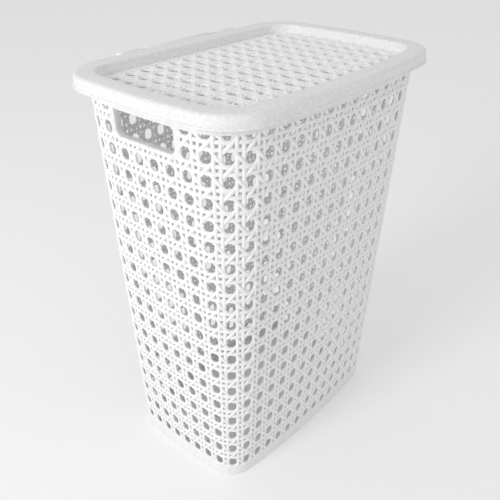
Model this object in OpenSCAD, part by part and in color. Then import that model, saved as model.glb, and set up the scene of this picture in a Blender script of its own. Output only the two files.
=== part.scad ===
// Laundry hamper with a hinged lid.
// A tapered, moulded basket whose four walls and four corners are open cane-webbing lattice,
// and a framed lid with a sunk lattice panel that hinges on two pins behind the rear rim.
// Millimetres, +Z up, origin on the floor under the middle of the foot band.

/* [Basket] */
// Width over the walls at the rim
basket_w = 408.6; // [330:1:500]
// Depth over the walls at the rim
basket_d = 281.2; // [220:1:345]
// Height of the rim above the floor
basket_h = 555; // [440:1:680]
// Corner radius at the rim
corner_r = 64.7; // [56:0.5:78]
// Draft of the walls, in degrees
draft = 3.34; // [2.5:0.05:3.8]
// Half of the angle that a long wall turns through, which bows it outwards
long_turn = 6.36; // [4:0.1:8]
// Half of the angle that a short wall turns through
short_turn = 4.87; // [3:0.1:7]
// Thickness of the walls
wall_t = 2.4; // [2:0.1:3]

/* [Lattice] */
// Hole pitches between the corner columns, round a long side
long_pitches = 15; // [12:1:18]
// Hole pitches between the corner columns, round a short side
short_pitches = 9; // [7:1:11]
// Height of one row of holes
row_pitch = 28; // [24:0.5:34]
// Height of the lowest row's centre
first_row_z = 27.5; // [25:0.5:32]
// Share of the pitch that a hole takes
hole_share = 0.54; // [0.4:0.01:0.6]

/* [Foot and rim] */
// Height of the plain foot band
foot_h = 9.8; // [8:0.1:12]
// Thickness of the floor plate
floor_t = 2.6; // [2:0.1:4]
// Gap under the floor plate
floor_lift = 3.2; // [2:0.1:5]
// Height of the plain rim band
rim_band_h = 25; // [22:0.5:32]
// How far the plain rim band stands out from the wall
rim_proud = 0.3; // [0:0.1:1]
// How far the rolled rim stands out from the wall
rim_bead = 4; // [3:0.1:4.4]
// Height of the rolled rim
rim_bead_h = 7; // [5:0.5:9]

/* [Hand holes] */
// Width of the hand hole
hand_w = 98; // [85:1:105]
// Height of the hand hole
hand_h = 33; // [28:0.5:38]
// Radius in the corners of the hand hole
hand_r = 8; // [5:0.5:12]
// Width of the raised frame round the hand hole
bezel_w = 7; // [5:0.5:10]
// How far the frame stands out from the wall
bezel_proud = 2; // [1:0.1:3]

/* [Lid] */
// Corner radius of the lid, where it passes over the basket's outline
lid_corner_r = 50; // [44:0.5:58]
// How far the lid's lip reaches past the basket's wall
lid_overhang = 14.7; // [13.8:0.1:18]
// How far the flared lip stands out from the skirt
lip_flare = 1.8; // [1:0.1:2.5]
// Height of the skirt, from the lip to the top face
skirt_h = 16.2; // [13:0.1:18]
// Gap between the rim and the underside of the lid
lid_gap = 0.6; // [0.4:0.1:1.5]
// Wall thickness of the lid
lid_t = 2.4; // [2:0.1:3]
// Width of the lid's flat frame
frame_w = 29.4; // [26:0.1:36]
// Depth of the sunk panel below the frame
panel_drop = 12.5; // [9:0.5:15]
// Thickness of the lattice panel
panel_t = 2.5; // [2:0.1:3.5]
// Hole pitch of the panel
panel_pitch = 24.5; // [20:0.1:27]

/* [Hinges] */
// Distance from the middle of the lid to a hinge lug
lug_x = 62; // [50:1:70]
// Width of a hinge lug
lug_w = 10; // [8:0.5:14]
// Gap beside a hinge lug
lug_gap = 1.5; // [1:0.1:3]
// Length of a hinge knuckle
knuckle_l = 34; // [28:1:40]
// Outer radius of a hinge knuckle
knuckle_r = 6; // [5.5:0.1:6.4]
// Radius of a hinge pin
pin_r = 3; // [2.5:0.1:3.2]
// Running clearance of the pin in the knuckle, on the radius
pin_clear = 0.06; // [0.02:0.01:0.1]
// Distance of the pin behind the basket's rear wall
pin_back = 9.8; // [9.2:0.1:12]

/* [Hidden] */
half_w = basket_w / 2;
half_d = basket_d / 2;
// Corner centres in plan: the four wall arcs and the four corner arcs meet tangentially
long_tan = tan(long_turn / 2);
short_tan = tan(short_turn / 2);
centre_x = ((half_w - corner_r) - short_tan * (half_d - corner_r)) / (1 - long_tan * short_tan);
centre_y = (half_d - corner_r) - long_tan * centre_x;
corner_turn = 90 - long_turn - short_turn;
slope = tan(draft);
fine = 96;          // segments in a full turn of a corner
broad = 420;        // segments in a full turn of a wall, which has a large radius
long_steps = 8;     // straight runs along a long side, where the plan is drawn as a polygon
short_steps = 6;
corner_steps = 12;

// Radii at a height: the plan shrinks evenly as the walls draw in
function corner_at(z) = corner_r - (basket_h - z) * slope;
function long_r(z) = corner_at(z) + centre_x / sin(long_turn);
function short_r(z) = corner_at(z) + centre_y / sin(short_turn);
function rad(a) = a * PI / 180;
function deg(a) = a * 180 / PI;

// Sides are numbered anticlockwise from the front: 0 front, 1 right, 2 rear, 3 left
function is_long(side) = side % 2 == 0;
function turn_of(side) = is_long(side) ? long_turn : short_turn;
function along_of(side) = is_long(side) ? centre_x : centre_y;
function across_of(side) = is_long(side) ? centre_y : centre_x;
function radius_of(side, z) = is_long(side) ? long_r(z) : short_r(z);
function pitches_of(side) = is_long(side) ? long_pitches : short_pitches;
function arc_back(side) = along_of(side) / tan(turn_of(side)) - across_of(side);
function side_length(side, z) =
    2 * (corner_at(z) * rad(corner_turn) / 2 + radius_of(side, z) * rad(turn_of(side)));
function pitch_at(side, z) = side_length(side, z) / pitches_of(side);

// A point of a side, u along the surface from the side's middle: [along, across, angle of the normal]
function side_point(side, u, z) =
    let (reach = radius_of(side, z) * rad(turn_of(side)))
    abs(u) <= reach
        ? let (f = deg(u / radius_of(side, z)))
            [radius_of(side, z) * sin(f), radius_of(side, z) * cos(f) - arc_back(side), f]
        : let (f = sign(u) * (turn_of(side) + deg((abs(u) - reach) / corner_at(z))))
            [sign(u) * along_of(side) + corner_at(z) * sin(f),
             across_of(side) + corner_at(z) * cos(f), f];

// Lattice rows, counted from the lowest; the last one is cut in two by the rim band
lattice_top = basket_h - rim_band_h;
rows = floor((lattice_top - first_row_z) / row_pitch) + 2;
function row_z(row) = first_row_z + row * row_pitch;

// Lid heights and offsets from the basket's plan at the rim
lid_top = basket_h + lid_gap + lid_t;
lip_z = lid_top - skirt_h;
skirt_off = lid_overhang - lip_flare;
well_off = skirt_off - frame_w;
panel_top = lid_top - panel_drop;
panel_z = panel_top - panel_t;
// Corner centres of the lid, whose rear edge is straight for the hinges
lid_cx = ((half_w - lid_corner_r) - short_tan * (half_d - lid_corner_r)) / (1 - long_tan * short_tan);
lid_cy = (half_d - lid_corner_r) - long_tan * lid_cx;
rear_edge = lid_cy + lid_corner_r + skirt_off;
shelf_w = 4;
shelf_t = 1.8;
lip_h = 2.4;
panel_off = well_off - 0.1;
panel_mid_y = (lid_cy + lid_corner_r - half_d) / 2;
panel_half_d = (lid_cy + lid_corner_r + half_d) / 2 + panel_off;
panel_nx = floor((half_w + panel_off - 8) / panel_pitch - 0.5) * 2 + 1;
panel_ny = floor((panel_half_d - 8) / panel_pitch) * 2;

// Hinge axis
pin_y = half_d + pin_back;
pin_z = lid_top - knuckle_r;
knuckle_x = lug_x + lug_w + lug_gap;
strip_x = lug_x - lug_gap;
strip_back = 8.6;
ear_r = 5;
lug_foot = rim_band_h - 1;
slot_w = pin_r * 1.3;

// Hand hole
hand_top = lattice_top;
hand_z = hand_top - hand_h / 2;
cheek_z = hand_top - hand_h - bezel_w;

// Places things that are drawn as if for the front wall
module side_frame(side) {
    rotate([0, 0, 90 * side]) children();
}

// Turns an offset-height profile round one wall's arc
module wall_run(side) {
    side_frame(side)
        translate([0, arc_back(side), 0])
            rotate([0, 0, 270 - turn_of(side)])
                rotate_extrude(angle = 2 * turn_of(side), $fn = broad)
                    translate([radius_of(side, basket_h), 0]) children();
}

// Turns an offset-height profile round one corner, numbered with the side before it
module corner_run(corner) {
    way = [[1, -1, 270 + long_turn], [1, 1, short_turn],
           [-1, 1, 90 + long_turn], [-1, -1, 180 + short_turn]][corner];
    translate([way[0] * centre_x, way[1] * centre_y, 0])
        rotate([0, 0, way[2]])
            rotate_extrude(angle = corner_turn, $fn = fine)
                translate([corner_r, 0]) children();
}

// Section of a drafted wall between two heights and two offsets from the outer face
module wall_section(z0, z1, inner, outer) {
    polygon([for (p = [[inner, z0], [outer, z0], [outer, z1], [inner, z1]])
        [p[0] - (basket_h - p[1]) * slope, p[1]]]);
}

// One eight-sided hole, drawn facing along X
module hole_prism(w, h) {
    cut = 0.42;
    rotate([90, 0, 90])
        linear_extrude(height = 6 * wall_t, center = true)
            polygon([for (p = [[1, cut], [cut, 1], [-cut, 1], [-1, cut],
                               [-1, -cut], [-cut, -1], [cut, -1], [1, -cut]])
                [p[0] * w / 2, p[1] * h / 2]]);
}

// The holes of one side between two columns, counted from the side's first corner
module side_holes(side, from, to, lowest = 0) {
    side_frame(side)
        for (row = [lowest:rows - 1], k = [from:to]) {
            z = row_z(row);
            pitch = pitch_at(side, z);
            p = side_point(side, (k - pitches_of(side) / 2) * pitch, z);
            translate([p[0], -p[1], z])
                rotate([0, 0, 270 + p[2]])
                    hole_prism(pitch * hole_share, row_pitch * hole_share);
        }
}

module hand_outline(grow) {
    r = hand_r + grow;
    w = hand_w / 2 + grow - r;
    offset_z = hand_top - hand_z;
    difference() {
        union() {
            square([2 * w + 2 * r, 2 * (hand_h / 2 + grow - r)], center = true);
            square([2 * w, 2 * (hand_h / 2 + grow)], center = true);
            for (x = [-w, w], y = [-1, 1])
                translate([x, y * (hand_h / 2 + grow - r)]) circle(r, $fn = 48);
        }
        translate([-w - 2 * r, offset_z]) square([2 * w + 4 * r, 4 * r]);
    }
}

// The hand hole's outline, grown by a border and run through a short wall
module hand_prism(side, grow) {
    side_frame(side)
        translate([0, -half_w, hand_z])
            rotate([90, 0, 0])
                linear_extrude(height = 60, center = true) hand_outline(grow);
}

// A long wall's lattice, or the part of a short wall's lattice below the hand hole's frame
module wall_lattice(side) {
    difference() {
        wall_run(side) wall_section(foot_h, is_long(side) ? lattice_top : cheek_z, -wall_t, 0);
        side_holes(side, 1, pitches_of(side) - 1);
    }
}

// The two pieces of a short wall's lattice beside the hand hole's frame
module hand_cheeks(side) {
    difference() {
        wall_run(side) wall_section(cheek_z, lattice_top, -wall_t, 0);
        side_holes(side, 1, pitches_of(side) - 1, floor((cheek_z - first_row_z) / row_pitch));
        side_frame(side)
            translate([-hand_w / 2 - bezel_w, -half_w - hand_h, cheek_z - 1])
                cube([hand_w + 2 * bezel_w, 2 * hand_h, lattice_top - cheek_z + 2]);
    }
}

module corner_lattice(corner) {
    difference() {
        corner_run(corner) wall_section(foot_h, lattice_top, -wall_t, 0);
        side_holes(corner, pitches_of(corner) - 2, pitches_of(corner));
        side_holes((corner + 1) % 4, 1, 2);
    }
}

module hand_frame(side) {
    difference() {
        intersection() {
            wall_run(side) wall_section(cheek_z, lattice_top, -wall_t - 1, bezel_proud);
            hand_prism(side, bezel_w);
        }
        hand_prism(side, 0);
    }
}

// Plan outlines as short straight runs
function arc_points(c, r, a0, a1, n) = [for (i = [0:n - 1])
    c + r * [cos(a0 + (a1 - a0) * i / n), sin(a0 + (a1 - a0) * i / n)]];
// Arcs and corners about given corner centres; a rear turn of 0 makes the rear edge straight
function outline(cx, cy, r, rear_turn) =
    let (a = long_turn, b = short_turn,
         rear_arc = cx / tan(a) - cy, side_arc = cy / tan(b) - cx,
         rl = r + cx / sin(a), rs = r + cy / sin(b))
    concat(
        arc_points([0, rear_arc], rl, 270 - a, 270 + a, long_steps),
        arc_points([cx, -cy], r, 270 + a, 360 - b, corner_steps),
        arc_points([-side_arc, 0], rs, -b, b, short_steps),
        arc_points([cx, cy], r, b, 90 - rear_turn, corner_steps),
        rear_turn > 0 ? arc_points([0, -rear_arc], rl, 90 - a, 90 + a, long_steps) : [[cx, cy + r]],
        arc_points([-cx, cy], r, 90 + rear_turn, 180 - b, corner_steps),
        arc_points([side_arc, 0], rs, 180 - b, 180 + b, short_steps),
        arc_points([-cx, -cy], r, 180 + b, 270 - a, corner_steps));

// The basket's and the lid's outline at an offset from the basket's plan at the rim
function plan_points(off) = outline(centre_x, centre_y, corner_r + off, long_turn);
function lid_points(off) = outline(lid_cx, lid_cy, lid_corner_r + off, 0);

// A slab inside an outline, between two heights
module slab(points, z0, z1) {
    translate([0, 0, z0]) linear_extrude(height = z1 - z0) polygon(points);
}

// A flat ring between two outlines and two heights
module ring_layer(inside, outside, z0, z1) {
    translate([0, 0, z0])
        linear_extrude(height = z1 - z0)
            difference() {
                polygon(outside);
                polygon(inside);
            }
}

// Plain foot band with the floor plate inside it
module floor_tray() {
    foot_off = -(basket_h - foot_h) * slope;
    color("whitesmoke") {
        ring_layer(plan_points(foot_off - wall_t), plan_points(foot_off), 0, foot_h);
        slab(plan_points(foot_off - wall_t / 2), floor_lift, floor_lift + floor_t);
    }
}

module rim_band() {
    inside = plan_points(-wall_t - rim_band_h * slope / 2);
    color("whitesmoke") {
        ring_layer(inside, plan_points(rim_proud), lattice_top, basket_h);
        ring_layer(inside, plan_points(rim_bead), basket_h - rim_bead_h, basket_h);
    }
}

// Two ears behind the rear rim that carry the hinge pins
module hinge_lugs() {
    root = half_d - 3;
    color("whitesmoke")
        difference() {
            for (x = [lug_x, -lug_x - lug_w])
                translate([x, 0, 0]) rotate([90, 0, 90]) linear_extrude(height = lug_w) {
                    translate([pin_y, pin_z]) circle(ear_r, $fn = 64);
                    polygon([[root, basket_h - lug_foot], [pin_y + 2, pin_z - ear_r + 0.6],
                             [pin_y, pin_z], [pin_y - 4, pin_z + ear_r / 2],
                             [root, pin_z + 1.4]]);
                }
            slab(plan_points(rim_proud), lattice_top - 1, basket_h + 1);
            slab(plan_points(rim_bead), basket_h - rim_bead_h, basket_h + 1);
        }
}

module hinge_pin(way) {
    color("gainsboro")
        translate([way * (lug_x + lug_w), pin_y, pin_z])
            rotate([0, way * 90, 0]) {
                cylinder(r = pin_r, h = lug_gap + knuckle_l - 2, $fn = 64);
                translate([0, 0, lug_gap + knuckle_l - 2])
                    cylinder(r1 = pin_r, r2 = pin_r - 1, h = 1, $fn = 64);
            }
}

// Space behind the lid's rear edge: the skirt stops here and the hinges take its place
module hinge_gap() {
    reach = lid_cx - 3;
    translate([-reach, rear_edge - lid_t - lid_gap, lip_z - 1])
        cube([2 * reach, 30, lid_top - lid_t - lip_z + 1]);
    for (x = [lug_x - lug_gap, -lug_x - lug_w - lug_gap])
        translate([x, pin_y - ear_r - lug_gap, lip_z - 1])
            cube([lug_w + 2 * lug_gap, 30, 30]);
}

module lid_layer(inner, outer, z0, z1) {
    ring_layer(lid_points(inner), lid_points(outer), z0, z1);
}

// Top face with a skirt and a flared lip outside, and a well with a shelf inside
module lid_frame() {
    well_z = panel_z - shelf_t;
    color("whitesmoke")
        difference() {
            union() {
                lid_layer(well_off, skirt_off, lid_top - lid_t, lid_top);
                lid_layer(skirt_off - lid_t, skirt_off, lip_z, lid_top);
                lid_layer(skirt_off - lid_t, lid_overhang, lip_z, lip_z + lip_h);
                lid_layer(well_off, well_off + lid_t, well_z, lid_top);
                lid_layer(well_off - shelf_w, well_off + lid_t, well_z, panel_z);
            }
            hinge_gap();
        }
}

module panel_hole(i, j) {
    translate([(i - panel_nx / 2) * panel_pitch, panel_mid_y + (j - panel_ny / 2) * panel_pitch])
        rotate(22.5) circle(d = panel_pitch * hole_share * 1.08, $fn = 8);
}

module lid_panel() {
    color("white")
        translate([0, 0, panel_z])
            linear_extrude(height = panel_t)
                difference() {
                    polygon(lid_points(panel_off));
                    for (i = [0:panel_nx], j = [0:panel_ny]) panel_hole(i, j);
                }
}

// A clip-on knuckle: a ring round the pin with a slot below, and a web up to the lid's edge
module knuckle(way) {
    web = knuckle_r + 5;
    color("whitesmoke")
        difference() {
            translate([way > 0 ? knuckle_x : -knuckle_x - knuckle_l, 0, 0])
                rotate([90, 0, 90])
                    linear_extrude(height = knuckle_l)
                        difference() {
                            union() {
                                translate([pin_y, pin_z]) circle(knuckle_r, $fn = 96);
                                translate([pin_y - web, lid_top - lid_t]) square([web, lid_t]);
                            }
                            translate([pin_y, pin_z]) circle(pin_r + pin_clear, $fn = 96);
                            translate([pin_y - slot_w / 2, pin_z - knuckle_r - 1])
                                square([slot_w, knuckle_r]);
                        }
            slab(lid_points(skirt_off), lid_top - lid_t - 0.5, lid_top + 1);
        }
}

// Proud strip between the two hinges, at the middle of the rear edge
module lid_rear_strip() {
    color("whitesmoke")
        difference() {
            translate([-strip_x, rear_edge - 4, lid_top - lid_t])
                cube([2 * strip_x, strip_back + 4, lid_t]);
            slab(lid_points(skirt_off), lid_top - lid_t - 0.5, lid_top + 1);
        }
}

floor_tray();
color("white") wall_lattice(0);  // front_lattice
color("white") wall_lattice(1);  // right_lattice
color("white") wall_lattice(2);  // rear_lattice
color("white") wall_lattice(3);  // left_lattice
color("white") corner_lattice(0);  // front_right_corner
color("white") corner_lattice(1);  // rear_right_corner
color("white") corner_lattice(2);  // rear_left_corner
color("white") corner_lattice(3);  // front_left_corner
color("white") hand_cheeks(1);  // right_hand_cheeks
color("white") hand_cheeks(3);  // left_hand_cheeks
rim_band();
color("whitesmoke") hand_frame(1);  // right_hand_frame
color("whitesmoke") hand_frame(3);  // left_hand_frame
hinge_lugs();
hinge_pin(-1);  // left_hinge_pin
hinge_pin(1);  // right_hinge_pin
lid_frame();
lid_panel();
knuckle(-1);  // left_knuckle
knuckle(1);  // right_knuckle
lid_rear_strip();
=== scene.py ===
import math

import bmesh
import bpy
from mathutils import Matrix, Vector


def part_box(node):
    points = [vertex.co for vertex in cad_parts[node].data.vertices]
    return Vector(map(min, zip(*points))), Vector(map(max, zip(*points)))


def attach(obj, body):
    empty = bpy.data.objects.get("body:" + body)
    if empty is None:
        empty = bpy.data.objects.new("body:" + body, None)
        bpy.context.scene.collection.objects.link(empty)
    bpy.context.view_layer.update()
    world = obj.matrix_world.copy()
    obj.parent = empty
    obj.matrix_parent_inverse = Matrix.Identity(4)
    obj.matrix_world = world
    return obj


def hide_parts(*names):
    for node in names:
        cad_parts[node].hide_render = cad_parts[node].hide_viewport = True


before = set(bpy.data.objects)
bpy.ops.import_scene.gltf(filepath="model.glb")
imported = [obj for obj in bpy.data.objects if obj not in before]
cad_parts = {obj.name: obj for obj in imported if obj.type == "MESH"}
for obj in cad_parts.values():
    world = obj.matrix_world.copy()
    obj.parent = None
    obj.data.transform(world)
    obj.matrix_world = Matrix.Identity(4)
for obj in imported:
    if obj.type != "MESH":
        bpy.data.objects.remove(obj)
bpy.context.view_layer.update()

# ---- Camera ----
# Stands off the front left corner of the hamper and looks down on the lid at thirty degrees,
# turned a little past the corner so that the hamper sits in the middle of the frame.
camera_turn = math.radians(48.98)
camera_dip = math.radians(29.96)
camera_roll = math.radians(0.15)
forward = Vector(
    (
        math.sin(camera_turn) * math.cos(camera_dip),
        math.cos(camera_turn) * math.cos(camera_dip),
        -math.sin(camera_dip),
    )
)
level = Vector((math.cos(camera_turn), -math.sin(camera_turn), 0))
upright = level.cross(forward)
camera_right = math.cos(camera_roll) * level + math.sin(camera_roll) * upright
camera_up = math.cos(camera_roll) * upright - math.sin(camera_roll) * level
camera = bpy.data.objects.new("camera", bpy.data.cameras.new("camera"))
camera.data.sensor_width = 36
camera.data.lens = 47.44
camera_place = (-0.6488, -0.5474, 0.7636)
camera_axes = Matrix((camera_right, camera_up, -forward)).transposed()
camera.matrix_world = Matrix.Translation(camera_place) @ camera_axes.to_4x4()
bpy.context.scene.collection.objects.link(camera)
bpy.context.scene.camera = camera

# ---- Floor and light ----
# A wide matt white floor that glows faintly, under a white sky. The one soft light stands to the
# left, low enough that it brightens the left wall more than the lid; the front gets little but sky.
floor_mesh = bpy.data.meshes.new("studio_floor")
floor_reach = 30
floor_corners = [(-1, -1), (1, -1), (1, 1), (-1, 1)]
floor_verts = [(x * floor_reach, y * floor_reach, 0) for x, y in floor_corners]
floor_mesh.from_pydata(floor_verts, [], [(0, 1, 2, 3)])
studio_floor = bpy.data.objects.new("studio_floor", floor_mesh)
bpy.context.scene.collection.objects.link(studio_floor)
floor_paint = bpy.data.materials.new("studio floor paint")
floor_paint.use_nodes = True
floor_surface = floor_paint.node_tree.nodes["Principled BSDF"]
floor_surface.inputs["Base Color"].default_value = (0.9, 0.9, 0.9, 1)
floor_surface.inputs["Emission Color"].default_value = (1, 1, 1, 1)
floor_surface.inputs["Emission Strength"].default_value = 0.09
floor_surface.inputs["Roughness"].default_value = 0.95
floor_surface.inputs["Specular IOR Level"].default_value = 0.1
floor_mesh.materials.append(floor_paint)

sky = bpy.data.worlds.new("studio sky")
sky.use_nodes = True
sky.node_tree.nodes["Background"].inputs["Color"].default_value = (1, 1, 1, 1)
sky.node_tree.nodes["Background"].inputs["Strength"].default_value = 0.7
bpy.context.scene.world = sky
bpy.context.scene.view_settings.view_transform = "Standard"


def soft_light(name, place, target, size, power):
    lamp = bpy.data.objects.new(name, bpy.data.lights.new(name, "AREA"))
    lamp.data.shape = "DISK"
    lamp.data.size = size
    lamp.data.energy = power
    lamp.location = place
    lamp.rotation_euler = (Vector(target) - Vector(place)).to_track_quat("-Z", "Y").to_euler()
    bpy.context.scene.collection.objects.link(lamp)


soft_light("left_softbox", (-2.7, 0.2, 1.4), (0, 0, 0.4), 1.0, 30)

# ---- Basket foot band and floor ----
# Plain band that the basket stands on, with the floor plate moulded across it a little above the
# ground. Injection-moulded white plastic with a fine satin grain, in one with the rest of the basket.
MM = 0.001
rim_low, rim_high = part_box("rim_band")
foot_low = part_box("floor_tray")[0]
rim_bead = 4 * MM
half_width = rim_high.x - rim_bead
half_depth = rim_high.y - rim_bead
rim_z = rim_high.z
corner_radius = 64.7 * MM
draft_slope = math.tan(math.radians(3.34))
long_turn = math.radians(6.36)
short_turn = math.radians(4.87)
wall_thickness = 2.4 * MM
long_tangent = math.tan(long_turn / 2)
short_tangent = math.tan(short_turn / 2)


def corner_place(radius):
    """Corner centre for a corner radius, where the bowed sides run into the corners smoothly."""
    x = (half_width - radius - short_tangent * (half_depth - radius)) / (1 - long_tangent * short_tangent)
    return x, half_depth - radius - long_tangent * x


corner_x, corner_y = corner_place(corner_radius)
corner_turn = math.pi / 2 - long_turn - short_turn


def side_sizes(side):
    """Half turn of a side's arc, and its corner centre's distance along and across the side."""
    if side % 2 == 0:
        return long_turn, corner_x, corner_y
    return short_turn, corner_y, corner_x


def facing_at(side, angle):
    return Matrix.Rotation(side * math.pi / 2, 3, "Z") @ Vector((math.sin(angle), -math.cos(angle), 0))


def outline_stations(radius, arc_steps, corner_steps, rear_turn=long_turn):
    """Centre, radius at the rim and facing of each step round the plan, four walls and four corners.

    A rear turn of zero makes the rear edge straight.
    """
    centre_x, centre_y = corner_place(radius)
    stations = []
    for side, (start_turn, end_turn) in enumerate(
        [(long_turn, short_turn), (short_turn, rear_turn), (rear_turn, short_turn), (short_turn, long_turn)]
    ):
        along, across = (centre_y, centre_x) if side % 2 else (centre_x, centre_y)
        to_side = Matrix.Rotation(side * math.pi / 2, 3, "Z")
        corner_centre = to_side @ Vector((along, -across, 0))
        if start_turn > 0:
            arc_centre = to_side @ Vector((0, along / math.tan(start_turn) - across, 0))
            arc_radius = radius + along / math.sin(start_turn)
            for i in range(arc_steps):
                facing = facing_at(side, start_turn * (2 * i / arc_steps - 1))
                stations.append((arc_centre, arc_radius, facing))
        else:
            for i in range(arc_steps):
                step = to_side @ Vector((along * (2 * i / arc_steps - 1), -across, 0))
                stations.append((step, radius, facing_at(side, 0)))
        for i in range(corner_steps):
            angle = start_turn + (math.pi / 2 - start_turn - end_turn) * i / corner_steps
            stations.append((corner_centre, radius, facing_at(side, angle)))
    return stations


def rounded(corners, steps=3):
    """A closed outline of (x, y, fillet radius) corners, with each corner turned into a short arc."""
    points = []
    for i, (x, y, radius) in enumerate(corners):
        here = Vector((x, y))
        before = (Vector(corners[i - 1][:2]) - here).normalized()
        after = (Vector(corners[(i + 1) % len(corners)][:2]) - here).normalized()
        opening = before.angle(after)
        reach = radius / math.tan(opening / 2)
        centre = here + (before + after).normalized() * radius / math.sin(opening / 2)
        start = here + before * reach - centre
        end = here + after * reach - centre
        for k in range(steps + 1):
            share = k / steps
            arm = start.lerp(end, share).normalized() * radius
            points.append(centre + arm)
    return points


def finished(name, mesh, material, body, slot, *nodes):
    """Puts a mesh in the scene as a piece that rides on a body and stands for CAD nodes."""
    mesh.materials.clear()
    mesh.materials.append(material)
    piece = bpy.data.objects.new(name, mesh)
    bpy.context.scene.collection.objects.link(piece)
    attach(piece, body)
    if nodes:
        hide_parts(*nodes)
    return piece


def outward(mesh, smooth_angle=35):
    """Merges doubles, turns the faces outwards and shades smooth except over sharp edges."""
    shape = bmesh.new()
    shape.from_mesh(mesh)
    bmesh.ops.remove_doubles(shape, verts=shape.verts, dist=0.002 * MM)
    bmesh.ops.recalc_face_normals(shape, faces=shape.faces)
    for face in shape.faces:
        face.smooth = True
    for edge in shape.edges:
        edge.smooth = len(edge.link_faces) == 2 and edge.calc_face_angle(0) < math.radians(smooth_angle)
    shape.to_mesh(mesh)
    shape.free()
    return mesh


def swept_ring(name, profile, stations):
    """Runs a closed profile of (distance out, height) points right round the plan."""
    verts = []
    for centre, radius, facing in stations:
        for out, height in profile:
            verts.append(centre + (radius + out) * facing + Vector((0, 0, height)))
    count = len(profile)
    faces = []
    for i in range(len(stations)):
        this_row = i * count
        next_row = (i + 1) % len(stations) * count
        for k in range(count):
            after = (k + 1) % count
            faces.append((this_row + k, next_row + k, next_row + after, this_row + after))
    mesh = bpy.data.meshes.new(name)
    mesh.from_pydata(verts, [], faces)
    return mesh


def filled_plan(mesh, out, low, high, stations):
    """Adds a flat plate inside the plan at an offset, between two heights."""
    shape = bmesh.new()
    shape.from_mesh(mesh)
    bottom = [
        shape.verts.new(centre + (radius + out) * facing + Vector((0, 0, low)))
        for centre, radius, facing in stations
    ]
    top = [shape.verts.new(vert.co + Vector((0, 0, high - low))) for vert in bottom]
    shape.faces.new(bottom[::-1])
    shape.faces.new(top)
    for i in range(len(bottom)):
        after = (i + 1) % len(bottom)
        shape.faces.new((bottom[i], bottom[after], top[after], top[i]))
    shape.to_mesh(mesh)
    shape.free()


class Signal:
    """A shader value that can be added, subtracted and multiplied in Python."""

    def __init__(self, tree, socket):
        self.tree = tree
        self.socket = socket

    def node(self, kind, settings, inputs, output=0):
        made = self.tree.nodes.new(kind)
        for key, value in settings.items():
            setattr(made, key, value)
        for key, value in inputs.items():
            if isinstance(value, Signal):
                self.tree.links.new(value.socket, made.inputs[key])
            else:
                made.inputs[key].default_value = value
        return Signal(self.tree, made.outputs[output])

    def maths(self, operation, first, second):
        return self.node("ShaderNodeMath", {"operation": operation}, {0: first, 1: second})

    def __add__(self, other):
        return self.maths("ADD", self, other)

    def __radd__(self, other):
        return self.maths("ADD", other, self)

    def __sub__(self, other):
        return self.maths("SUBTRACT", self, other)

    def __mul__(self, other):
        return self.maths("MULTIPLY", self, other)

    def __rmul__(self, other):
        return self.maths("MULTIPLY", other, self)


def moulded_plastic(name, pale, deep, grain_size, grain_depth, gloss_low, gloss_high):
    """White moulded plastic: slow flow marks in the colour, and a fine satin grain."""
    material = bpy.data.materials.new(name)
    material.use_nodes = True
    tree = material.node_tree
    surface = tree.nodes["Principled BSDF"]
    start = Signal(tree, None)
    place = start.node("ShaderNodeTexCoord", {}, {}, "Object")
    noise = "ShaderNodeTexNoise"
    flow = start.node(noise, {}, {"Vector": place, "Scale": 9.0, "Detail": 3.0, "Distortion": 0.6})
    grain = start.node(noise, {}, {"Vector": place, "Scale": 1 / grain_size, "Detail": 2.0})
    pits = start.node(noise, {}, {"Vector": place, "Scale": 0.35 / grain_size, "Detail": 1.0})
    colour = start.node(
        "ShaderNodeMix",
        {"data_type": "RGBA"},
        {"Factor": flow * 0.3 + pits * 1.8 + grain * 0.9 - 1.0, "A": pale, "B": deep},
        "Result",
    )
    roughness = gloss_low + (gloss_high - gloss_low) * (flow * 0.4 + grain * 0.6)
    relief = start.node(
        "ShaderNodeBump",
        {},
        {"Strength": 0.5, "Distance": grain_depth, "Height": grain * 0.5 + pits * 0.5},
    )
    tree.links.new(colour.socket, surface.inputs["Base Color"])
    tree.links.new(roughness.socket, surface.inputs["Roughness"])
    tree.links.new(relief.socket, surface.inputs["Normal"])
    surface.inputs["IOR"].default_value = 1.49
    return material


smooth_plastic = moulded_plastic(
    "satin smooth plastic",
    (0.89, 0.89, 0.89, 1),
    (0.76, 0.76, 0.762, 1),
    1.2 * MM,
    0.07 * MM,
    0.38,
    0.56,
)
plan_stations = outline_stations(corner_radius, 14, 14)
band_top = 18.8 * MM
plate_low = 3.2 * MM
plate_high = 5.8 * MM
foot_top_out = -(rim_z - band_top) * draft_slope
foot_bottom_out = -(rim_z - foot_low.z) * draft_slope
foot_mesh = swept_ring(
    "basket_foot",
    rounded(
        [
            (foot_bottom_out - wall_thickness, foot_low.z, 0.7 * MM),
            (foot_bottom_out + 0.3 * MM, foot_low.z, 1.1 * MM),
            (foot_top_out + 0.4 * MM, band_top, 0.9 * MM),
            (foot_top_out - wall_thickness, band_top, 0.7 * MM),
        ]
    ),
    plan_stations,
)
filled_plan(foot_mesh, foot_bottom_out - wall_thickness / 2, plate_low, plate_high, plan_stations)
finished("basket_foot", outward(foot_mesh), smooth_plastic, "basket", "smooth_plastic", "floor_tray")

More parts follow.
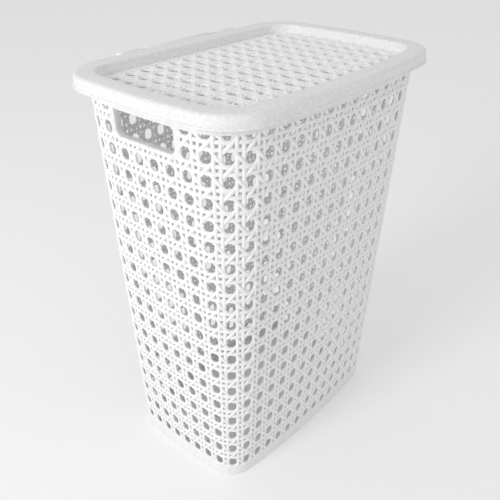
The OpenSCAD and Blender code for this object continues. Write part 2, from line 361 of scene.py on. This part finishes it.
# ---- Basket rim ----
# Plain smooth band above the lattice, with a rolled bead along its top edge; the lid's skirt hangs
# outside it. It is moulded in one with the basket and hides the upper ends of the lattice strands.
rim_foot = rim_low.z
rim_inner = -wall_thickness - 0.4 * MM
bead_foot = rim_z - 7 * MM
rim_mesh = swept_ring(
    "basket_rim",
    rounded(
        [
            (-(rim_z - rim_foot) * draft_slope - wall_thickness, rim_foot, 0.5 * MM),
            (0.3 * MM, rim_foot, 0.5 * MM),
            (0.6 * MM, bead_foot, 0.9 * MM),
            (rim_bead, bead_foot, 1.0 * MM),
            (rim_bead, rim_z, 1.8 * MM),
            (rim_inner, rim_z, 1.1 * MM),
        ]
    ),
    plan_stations,
)
finished("basket_rim", outward(rim_mesh), smooth_plastic, "basket", "smooth_plastic", "rim_band")

# ---- Hand holes ----
# A smooth raised frame round the hand hole in each end wall, whose inner edge turns into the
# basket as a short rounded tunnel that is kind to the fingers. Moulded in one with the wall.
hand_half_width = 49 * MM
hand_half_height = 16.5 * MM
hand_corner = 8 * MM
hand_upper_corner = hand_corner * 0.45
hand_middle_z = rim_foot - hand_half_height


def wall_point(side, along, height, out=0.0):
    """A point on a side, so far round the surface from the side's middle, and the way it faces."""
    turn, reach_along, reach_across = side_sizes(side)
    radius_at_corner = corner_radius - (rim_z - height) * draft_slope
    radius = radius_at_corner + reach_along / math.sin(turn)
    if abs(along) <= radius * turn:
        angle = along / radius
        x = radius * math.sin(angle)
        y = radius * math.cos(angle) - reach_along / math.tan(turn) + reach_across
    else:
        angle = math.copysign(turn + (abs(along) - radius * turn) / radius_at_corner, along)
        x = math.copysign(reach_along, along) + radius_at_corner * math.sin(angle)
        y = reach_across + radius_at_corner * math.cos(angle)
    facing = facing_at(side, angle)
    return Matrix.Rotation(side * math.pi / 2, 3, "Z") @ Vector((x, -y, height)) + out * facing, facing


def hand_frame_mesh(name, side):
    bezel_side = 8.0 * MM
    bezel_below = 6.2 * MM
    bezel_above = 1.4 * MM
    proud = 0.6 * MM
    depth = 9.0 * MM
    bezel_back = -2.6 * MM
    opening = rounded(
        [
            (-hand_half_width, -hand_half_height, hand_corner),
            (hand_half_width, -hand_half_height, hand_corner),
            (hand_half_width, hand_half_height, hand_upper_corner),
            (-hand_half_width, hand_half_height, hand_upper_corner),
        ],
        8,
    )
    section = rounded(
        [
            (0, proud, 1.6 * MM),
            (0, -depth, 0.8 * MM),
            (2.0 * MM, -depth, 0.8 * MM),
            (2.2 * MM, bezel_back, 0.9 * MM),
            (bezel_side, bezel_back, 0.4 * MM),
            (bezel_side, proud, 1.1 * MM),
        ]
    )
    verts = []
    for i, point in enumerate(opening):
        along = opening[(i + 1) % len(opening)] - opening[i - 1]
        away = Vector((along.y, -along.x)).normalized()
        border = bezel_side
        if abs(away.x) <= 0.999:
            bezel_level = bezel_below if away.y < 0 else bezel_above
            border = bezel_side * abs(away.x) + (1 - abs(away.x)) * bezel_level
        for share, out in section:
            flat = point + away * share * border / bezel_side
            verts.append(wall_point(side, flat.x, hand_middle_z + flat.y, out)[0])
    count = len(section)
    faces = []
    for i in range(len(opening)):
        row = i * count
        after_row = (i + 1) % len(opening) * count
        for k in range(count):
            after = (k + 1) % count
            faces.append((row + k, after_row + k, after_row + after, row + after))
    mesh = bpy.data.meshes.new(name)
    mesh.from_pydata(verts, [], faces)
    return outward(mesh)


for hand_name, hand_side, hand_node in [
    ("right_hand_hole", 1, "right_hand_frame"),
    ("left_hand_hole", 3, "left_hand_frame"),
]:
    finished(
        hand_name,
        hand_frame_mesh(hand_name, hand_side),
        smooth_plastic,
        "basket",
        "smooth_plastic",
        hand_node,
    )

# ---- Basket lattice ----
# Walls and corners imitate woven cane: pairs of upright and level strands, crossed by slanting
# strands, leave eight-sided holes. All are moulded together and melt into each other where they cross.
row_pitch = 28 * MM
first_row_z = 27.5 * MM
long_pitches = 15
short_pitches = 9
around = 2 * (long_pitches + short_pitches)
pair_share = 0.16
strand_share = 0.19
strand_steps = 8
lowest_row = (band_top - 2 * MM - first_row_z) / row_pitch
highest_row = (rim_foot + 1.5 * MM - first_row_z) / row_pitch
weave_depth = 0.7 * MM
slant_depth = 1.1 * MM
strand_middle = -1.5 * MM
clear_along = hand_half_width + 4 * MM
clear_low = hand_middle_z - hand_half_height - 3 * MM


def side_length(side, height):
    turn, along, across = side_sizes(side)
    radius_at_corner = corner_radius - (rim_z - height) * draft_slope
    return radius_at_corner * corner_turn + 2 * turn * (radius_at_corner + along / math.sin(turn))


def lattice_point(column, row, out):
    """Place, facing and pitch of a lattice position, or None inside a hand hole.

    Columns count round the basket and rows upwards.
    """
    height = first_row_z + row * row_pitch
    left = column % around
    side = 0
    while left >= (short_pitches if side % 2 else long_pitches):
        left -= short_pitches if side % 2 else long_pitches
        side += 1
    pitches = short_pitches if side % 2 else long_pitches
    pitch = side_length(side, height) / pitches
    along = (left - pitches / 2) * pitch
    if side % 2 and height > clear_low and abs(along) < clear_along:
        return None
    place, facing = wall_point(side, along, height, out + strand_middle)
    return place, facing, pitch


class StrandPaths:
    """Centre lines of strands, kept as the edges of one mesh with each point's facing and width."""

    def __init__(self):
        self.points = []
        self.edges = []
        self.facings = []
        self.widths = []
        self.linked = False

    def lift(self):
        self.linked = False

    def add(self, place, facing, width):
        if self.linked:
            self.edges.append((len(self.points) - 1, len(self.points)))
        self.points.append(place)
        self.facings.append(facing)
        self.widths.append(width)
        self.linked = True

    def close(self, first):
        self.edges.append((len(self.points) - 1, first))
        self.linked = False

    def mesh(self, name):
        ahead = [Vector() for _ in self.points]
        for start, end in self.edges:
            step = (self.points[end] - self.points[start]).normalized()
            ahead[start] += step
            ahead[end] += step
        square = []
        for facing, way in zip(self.facings, ahead):
            way = way.normalized()
            square.extend((facing - way * facing.dot(way)).normalized())
        mesh = bpy.data.meshes.new(name)
        mesh.from_pydata(self.points, self.edges, [])
        mesh.attributes.new("facing", "FLOAT_VECTOR", "POINT").data.foreach_set("vector", square)
        mesh.attributes.new("strand_width", "FLOAT", "POINT").data.foreach_set("value", self.widths)
        return mesh


def strand_tree():
    """Geometry Nodes that sweep an oval section along strand paths, flat side to the wall."""
    tree = bpy.data.node_groups.new("moulded strand", "GeometryNodeTree")
    tree.interface.new_socket("Paths", in_out="INPUT", socket_type="NodeSocketGeometry")
    tree.interface.new_socket("Thickness", in_out="INPUT", socket_type="NodeSocketFloat")
    tree.interface.new_socket("Section Points", in_out="INPUT", socket_type="NodeSocketInt")
    tree.interface.new_socket("Plastic", in_out="INPUT", socket_type="NodeSocketMaterial")
    tree.interface.new_socket("Strands", in_out="OUTPUT", socket_type="NodeSocketGeometry")
    given = tree.nodes.new("NodeGroupInput")
    result = tree.nodes.new("NodeGroupOutput")

    def step(kind, settings, inputs):
        made = tree.nodes.new(kind)
        for key, value in settings.items():
            setattr(made, key, value)
        for key, value in inputs.items():
            if isinstance(value, bpy.types.NodeSocket):
                tree.links.new(value, made.inputs[key])
            else:
                made.inputs[key].default_value = value
        return made.outputs[0]

    named = "GeometryNodeInputNamedAttribute"
    facing = step(named, {"data_type": "FLOAT_VECTOR"}, {"Name": "facing"})
    width = step(named, {"data_type": "FLOAT"}, {"Name": "strand_width"})
    line = step("GeometryNodeMeshToCurve", {}, {"Mesh": given.outputs["Paths"]})
    turned = step("GeometryNodeSetCurveNormal", {"mode": "FREE"}, {"Curve": line, "Normal": facing})
    circle = step(
        "GeometryNodeCurvePrimitiveCircle",
        {},
        {"Resolution": given.outputs["Section Points"], "Radius": 0.5},
    )
    flat = step("ShaderNodeCombineXYZ", {}, {"X": given.outputs["Thickness"], "Y": 1.0, "Z": 1.0})
    oval = step("GeometryNodeTransform", {}, {"Geometry": circle, "Scale": flat})
    swept = step(
        "GeometryNodeCurveToMesh",
        {},
        {"Curve": turned, "Profile Curve": oval, "Scale": width, "Fill Caps": True},
    )
    smooth = step("GeometryNodeSetShadeSmooth", {}, {"Geometry": swept})
    real = step("GeometryNodeRealizeInstances", {}, {"Geometry": smooth})
    coated = step("GeometryNodeSetMaterial", {}, {"Geometry": real, "Material": given.outputs["Plastic"]})
    tree.links.new(coated, result.inputs["Strands"])
    return tree


strand_group = strand_tree()
section_points = 8


def strands(name, paths, thickness, material, body, *nodes):
    """Sweeps the paths into one piece."""
    carrier = bpy.data.objects.new(name + "_paths", paths.mesh(name))
    bpy.context.scene.collection.objects.link(carrier)
    sweep = carrier.modifiers.new("sweep", "NODES")
    sweep.node_group = strand_group
    wanted = {"Thickness": thickness, "Section Points": section_points, "Plastic": material}
    for item in strand_group.interface.items_tree:
        if item.name in wanted:
            sweep[item.identifier] = wanted[item.name]
    swept = bpy.data.meshes.new_from_object(carrier.evaluated_get(bpy.context.evaluated_depsgraph_get()))
    bpy.data.objects.remove(carrier)
    swept.name = name
    for attribute in ["facing", "strand_width"]:
        if attribute in swept.attributes:
            swept.attributes.remove(swept.attributes[attribute])
    shape = bmesh.new()
    shape.from_mesh(swept)
    bmesh.ops.recalc_face_normals(shape, faces=shape.faces)
    shape.to_mesh(swept)
    shape.free()
    return finished(name, swept, material, body, "lattice_plastic", *nodes)


lattice_plastic = moulded_plastic(
    "satin lattice plastic",
    (0.92, 0.92, 0.92, 1),
    (0.86, 0.86, 0.862, 1),
    0.7 * MM,
    0.04 * MM,
    0.40,
    0.58,
)
wall_nodes = [
    "front_lattice",
    "right_lattice",
    "rear_lattice",
    "left_lattice",
    "front_right_corner",
    "rear_right_corner",
    "rear_left_corner",
    "front_left_corner",
    "right_hand_cheeks",
    "left_hand_cheeks",
]
row_steps = math.ceil((highest_row - lowest_row) * strand_steps)


def upright_paths(first_column, last_column):
    paths = StrandPaths()
    for column in range(first_column, last_column):
        for hand in [-1, 1]:
            paths.lift()
            for i in range(row_steps + 1):
                row = lowest_row + (highest_row - lowest_row) * i / row_steps
                out = hand * weave_depth * math.sin(2 * math.pi * row)
                found = lattice_point(column + 0.5 + hand * pair_share, row, out)
                if found is None:
                    paths.lift()
                else:
                    paths.add(found[0], found[1], strand_share * found[2])
    return paths


def level_paths(from_row, to_row):
    paths = StrandPaths()
    for gap in range(from_row, to_row):
        for hand in [-1, 1]:
            row = gap - 0.5 + hand * pair_share
            if row < lowest_row or row > highest_row:
                continue
            paths.lift()
            first = len(paths.points)
            whole = True
            for i in range(around * strand_steps):
                column = i / strand_steps
                found = lattice_point(column, row, -hand * weave_depth * math.sin(2 * math.pi * column))
                if found is None:
                    paths.lift()
                    whole = False
                else:
                    paths.add(found[0], found[1], strand_share * row_pitch)
            if whole or paths.linked:
                paths.close(first)
    return paths


def slanting_paths(lean):
    paths = StrandPaths()
    for start in range(around):
        paths.lift()
        for i in range(row_steps + 1):
            row = lowest_row + (highest_row - lowest_row) * i / row_steps
            column = start + 0.5 + lean * row
            found = lattice_point(column, row, lean * slant_depth * math.cos(2 * math.pi * column))
            if found is None:
                paths.lift()
            else:
                paths.add(found[0], found[1], strand_share * found[2])
    return paths


half_round = around // 2
middle_row = 10
last_row = 19
strand_thickness = 0.7
for lattice_name, lattice_paths in [
    ("front_upright_strands", upright_paths(0, half_round)),
    ("rear_upright_strands", upright_paths(half_round, around)),
    ("lower_level_strands", level_paths(0, middle_row)),
    ("upper_level_strands", level_paths(middle_row, last_row)),
    ("rising_strands", slanting_paths(1)),
    ("falling_strands", slanting_paths(-1)),
]:
    strands(lattice_name, lattice_paths, strand_thickness, lattice_plastic, "basket", *wall_nodes)

# ---- Hinge lugs and pins ----
# Two ears stand up behind the rear rim and carry the round pins that the lid turns on.
# The ears are moulded with the basket; the pins are plain turned plastic with a blunt point.
pin_low, pin_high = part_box("right_hinge_pin")
pin_y = (pin_low.y + pin_high.y) / 2
pin_z = (pin_low.z + pin_high.z) / 2
pin_radius = (pin_high.z - pin_low.z) / 2


def bar(mesh, outline, start, end):
    """Adds an outline in the (y, z) plane, drawn out along x."""
    shape = bmesh.new()
    shape.from_mesh(mesh)
    near = [shape.verts.new((start, y, z)) for y, z in outline]
    far = [shape.verts.new((end, y, z)) for y, z in outline]
    shape.faces.new(near)
    shape.faces.new(far[::-1])
    for i in range(len(near)):
        after = (i + 1) % len(near)
        shape.faces.new((near[i], far[i], far[after], near[after]))
    shape.to_mesh(mesh)
    shape.free()


def softened(name, mesh, width):
    """Rounds the sharp edges of a mesh by a small bevel and returns the result."""
    piece = bpy.data.objects.new(name, outward(mesh))
    bpy.context.scene.collection.objects.link(piece)
    bevel = piece.modifiers.new("soft edges", "BEVEL")
    bevel.width = width
    bevel.segments = 2
    bevel.limit_method = "ANGLE"
    bevel.angle_limit = math.radians(40)
    result = bpy.data.meshes.new_from_object(piece.evaluated_get(bpy.context.evaluated_depsgraph_get()))
    bpy.data.objects.remove(piece)
    result.name = name
    return outward(result)


lug_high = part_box("hinge_lugs")[1]
lug_width = 10 * MM
lug_inner = lug_high.x - lug_width
lug_foot = rim_z - 24 * MM
ear_radius = 5 * MM
ear_start = -45
ear_sweep = 195
ear_steps = 14
lug_root = half_depth - 1.5 * MM
lug_outline = [
    (lug_root, lug_foot),
    (lug_root + 2.4 * MM, lug_foot),
    (pin_y + 3 * MM, pin_z - ear_radius + 1 * MM),
]
for i in range(ear_steps + 1):
    ear_angle = math.radians(ear_start + ear_sweep * i / ear_steps)
    lug_outline.append((pin_y + ear_radius * math.cos(ear_angle), pin_z + ear_radius * math.sin(ear_angle)))
lug_outline.append((half_depth + rim_bead - 1 * MM, rim_z - 1 * MM))
lug_outline.append((lug_root, rim_z - 1 * MM))
lug_mesh = bpy.data.meshes.new("hinge_ears")
bar(lug_mesh, lug_outline, lug_inner, lug_high.x)
bar(lug_mesh, lug_outline, -lug_high.x, -lug_inner)
finished(
    "hinge_ears",
    softened("hinge_ears", lug_mesh, 0.7 * MM),
    smooth_plastic,
    "basket",
    "smooth_plastic",
    "hinge_lugs",
)

pin_plastic = moulded_plastic(
    "hard pin plastic",
    (0.74, 0.74, 0.74, 1),
    (0.70, 0.70, 0.71, 1),
    0.5 * MM,
    0.02 * MM,
    0.28,
    0.42,
)
for pin_name in ["left_hinge_pin", "right_hinge_pin"]:
    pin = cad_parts[pin_name]
    pin.data.materials.clear()
    pin.data.materials.append(pin_plastic)

# ---- Lid frame ----
# A flat ring with a rounded outer edge, a skirt that flares into a thin lip, and a well inside
# that steps down to the lattice panel. One white moulding; the skirt stops at the rear for the hinges.
lid_low, lid_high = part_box("lid_frame")
panel_low, panel_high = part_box("lid_panel")
lid_thickness = 2.4 * MM
lip_out = lid_high.x - half_width
skirt_out = lip_out - 1.8 * MM
well_out = skirt_out - 29.4 * MM
shelf_width = 4 * MM
lip_height = 2.4 * MM
well_lean = 3.2 * MM
shelf_under = panel_low.z - 1.8 * MM
lid_profile = rounded(
    [
        (well_out - shelf_width, shelf_under, 0.6 * MM),
        (well_out + lid_thickness - 0.8 * MM, shelf_under, 0.8 * MM),
        (well_out + lid_thickness + well_lean, lid_high.z - lid_thickness, 1.2 * MM),
        (skirt_out - lid_thickness, lid_high.z - lid_thickness, 1.0 * MM),
        (skirt_out - lid_thickness, lid_low.z, 0.6 * MM),
        (lip_out, lid_low.z, 0.9 * MM),
        (lip_out, lid_low.z + lip_height, 0.9 * MM),
        (skirt_out + 0.3 * MM, lid_low.z + lip_height + 0.7 * MM, 0.8 * MM),
        (skirt_out, lid_high.z, 4.6 * MM),
        (well_out + well_lean, lid_high.z, 2.6 * MM),
        (well_out, panel_low.z, 0.4 * MM),
        (well_out - shelf_width, panel_low.z, 0.5 * MM),
    ],
    4,
)
lid_radius = 50 * MM
lid_corner_x, lid_corner_y = corner_place(lid_radius)
lid_stations = outline_stations(lid_radius, 16, 14, 0)
lid_mesh = outward(swept_ring("lid_ring", lid_profile, lid_stations))


def cut_boxes(name, mesh, boxes):
    """Takes boxes, given by two corners each, out of a mesh."""
    piece = bpy.data.objects.new(name, mesh)
    bpy.context.scene.collection.objects.link(piece)
    cutters = []
    for low, high in boxes:
        cutter_mesh = bpy.data.meshes.new("cutter")
        shape = bmesh.new()
        bmesh.ops.create_cube(shape, size=1)
        for vert in shape.verts:
            vert.co = Vector((low[k] + (vert.co[k] + 0.5) * (high[k] - low[k]) for k in range(3)))
        shape.to_mesh(cutter_mesh)
        shape.free()
        cutter = bpy.data.objects.new("cutter", cutter_mesh)
        bpy.context.scene.collection.objects.link(cutter)
        cutters.append(cutter)
        cut = piece.modifiers.new("cut", "BOOLEAN")
        cut.operation = "DIFFERENCE"
        cut.solver = "EXACT"
        cut.object = cutter
    result = bpy.data.meshes.new_from_object(piece.evaluated_get(bpy.context.evaluated_depsgraph_get()))
    for thing in [piece, *cutters]:
        bpy.data.objects.remove(thing)
    result.name = name
    return outward(result)


knuckle_low, knuckle_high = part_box("right_knuckle")
hinge_reach = lid_corner_x - 3 * MM
rear_edge = lid_corner_y + lid_radius + skirt_out
notch_gap = 1.5 * MM
notch_front = pin_y - ear_radius - notch_gap
beyond = pin_y + 30 * MM
lid_cuts = [
    (
        (-hinge_reach, rear_edge - lid_thickness - 0.6 * MM, lid_low.z - 1 * MM),
        (hinge_reach, beyond, lid_high.z - lid_thickness),
    )
]
for way in [-1, 1]:
    notch_ends = sorted([way * (lug_inner - notch_gap), way * (lug_high.x + notch_gap)])
    lid_cuts.append(
        (
            (notch_ends[0], notch_front, lid_low.z - 1 * MM),
            (notch_ends[1], beyond, lid_high.z + 5 * MM),
        )
    )
finished(
    "lid_ring",
    cut_boxes("lid_ring", lid_mesh, lid_cuts),
    smooth_plastic,
    "lid",
    "smooth_plastic",
    "lid_frame",
)

# ---- Lid lattice panel ----
# The sunk middle of the lid has the same cane pattern as the walls, on a flat square pitch.
# A sheet with eight-sided holes carries the strands in low relief; they run into the well wall.
panel_pitch = 24.5 * MM
panel_strand_share = 0.15
panel_strand_thickness = 0.42
relief_share = 0.6
relief_middle = panel_high.z - 0.35 * MM
panel_out = well_out + 1.0 * MM
panel_middle_y = (panel_low.y + panel_high.y) / 2
columns_across = 2 * math.ceil(panel_high.x / panel_pitch) + 1
rows_across = 2 * math.ceil((panel_high.y - panel_low.y) / 2 / panel_pitch)
lid_reach = lid_radius + panel_out


def inside_panel(x, y):
    """True where a strand still lies within the well wall."""
    x = abs(x)
    if x > lid_corner_x and abs(y) > lid_corner_y:
        return math.hypot(x - lid_corner_x, abs(y) - lid_corner_y) < lid_reach
    long_back = lid_corner_x / math.tan(long_turn) - lid_corner_y
    short_back = lid_corner_y / math.tan(short_turn) - lid_corner_x
    long_radius = lid_reach + lid_corner_x / math.sin(long_turn)
    short_radius = lid_reach + lid_corner_y / math.sin(short_turn)
    if y > lid_corner_y + lid_reach or math.hypot(x + short_back, y) > short_radius:
        return False
    return y > 0 or math.hypot(x, long_back - y) < long_radius


def panel_paths():
    """All four families of strands; u counts pitches along x and v along y."""
    half_u = columns_across / 2
    half_v = rows_across / 2
    paths = StrandPaths()
    face_up = Vector((0, 0, 1))

    def draw(start_u, start_v, way_u, way_v, length, height_of, width):
        paths.lift()
        steps = math.ceil(length * strand_steps)
        for k in range(steps + 1):
            u = start_u + way_u * length * k / steps
            v = start_v + way_v * length * k / steps
            x = u * panel_pitch
            y = v * panel_pitch + panel_middle_y
            if inside_panel(x, y):
                paths.add(Vector((x, y, relief_middle + relief_share * height_of(u, v))), face_up, width)
            else:
                paths.lift()

    width = panel_strand_share * panel_pitch
    two_pi = 2 * math.pi
    for i in range(-columns_across, columns_across + 1):
        for hand in [-1, 1]:
            draw(
                i + hand * pair_share,
                -half_v,
                0,
                1,
                2 * half_v,
                lambda u, v, hand=hand: hand * weave_depth * math.sin(two_pi * v),
                width,
            )
    for j in range(-rows_across, rows_across + 1):
        for hand in [-1, 1]:
            draw(
                -half_u,
                j + 0.5 + hand * pair_share,
                1,
                0,
                2 * half_u,
                lambda u, v, hand=hand: hand * weave_depth * math.sin(two_pi * (u - 0.5)) * -1,
                width,
            )
    for lean in [-1, 1]:
        for start in range(-2 * columns_across, 2 * columns_across):
            draw(
                start - lean * half_v,
                -half_v,
                lean,
                1,
                2 * half_v,
                lambda u, v, lean=lean: lean * slant_depth * math.cos(two_pi * (u - 0.5)),
                width,
            )
    return paths


strands("lid_lattice", panel_paths(), panel_strand_thickness, lattice_plastic, "lid")
panel_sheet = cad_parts["lid_panel"]
panel_sheet.data.materials.clear()
panel_sheet.data.materials.append(lattice_plastic)

# ---- Lid knuckles and rear strip ----
# Open C-shaped knuckles under the rear edge clip over the pins, and a straight strip fills the
# edge between them. All three are moulded with the lid and end flush with its top face.
knuckle_outer = knuckle_high.z - pin_z
pin_clearance = 0.06 * MM
bore = pin_radius + pin_clearance
slot_width = 1.3 * pin_radius
slot_half = math.asin(slot_width / 2 / knuckle_outer)
bore_slot_half = math.asin(slot_width / 2 / bore)
web_front = rear_edge - 3 * MM
curl_steps = 24
root_steps = 8
knuckle_outline = []
for i in range(curl_steps + 1):
    turn_round = -math.pi / 2 + slot_half + (math.pi - slot_half) * i / curl_steps
    knuckle_outline.append(
        (pin_y + knuckle_outer * math.cos(turn_round), pin_z + knuckle_outer * math.sin(turn_round))
    )
knuckle_outline.append((web_front, lid_high.z))
knuckle_outline.append((web_front, lid_high.z - lid_thickness))
lower_turn = math.pi - math.asin((lid_high.z - lid_thickness - pin_z) / knuckle_outer)
for i in range(root_steps + 1):
    turn_round = lower_turn + (1.5 * math.pi - slot_half - lower_turn) * i / root_steps
    knuckle_outline.append(
        (pin_y + knuckle_outer * math.cos(turn_round), pin_z + knuckle_outer * math.sin(turn_round))
    )
for i in range(curl_steps + 1):
    turn_round = 1.5 * math.pi - bore_slot_half - 2 * (math.pi - bore_slot_half) * i / curl_steps
    knuckle_outline.append((pin_y + bore * math.cos(turn_round), pin_z + bore * math.sin(turn_round)))
for knuckle_name, knuckle_ends in [
    ("left_knuckle", (-knuckle_high.x, -knuckle_low.x)),
    ("right_knuckle", (knuckle_low.x, knuckle_high.x)),
]:
    knuckle_mesh = bpy.data.meshes.new(knuckle_name)
    bar(knuckle_mesh, knuckle_outline, *knuckle_ends)
    finished(
        knuckle_name + "_curl",
        softened(knuckle_name + "_curl", knuckle_mesh, 0.4 * MM),
        smooth_plastic,
        "lid",
        "smooth_plastic",
        knuckle_name,
    )

strip_low, strip_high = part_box("lid_rear_strip")
strip_outline = rounded(
    [
        (web_front, lid_high.z - lid_thickness, 0.3 * MM),
        (strip_high.y, lid_high.z - lid_thickness, 0.8 * MM),
        (strip_high.y, lid_high.z, 1.3 * MM),
        (web_front, lid_high.z, 0.3 * MM),
    ]
)
strip_mesh = bpy.data.meshes.new("lid_rear_edge")
bar(strip_mesh, strip_outline, strip_low.x, strip_high.x)
finished(
    "lid_rear_edge",
    softened("lid_rear_edge", strip_mesh, 0.4 * MM),
    smooth_plastic,
    "lid",
    "smooth_plastic",
    "lid_rear_strip",
)
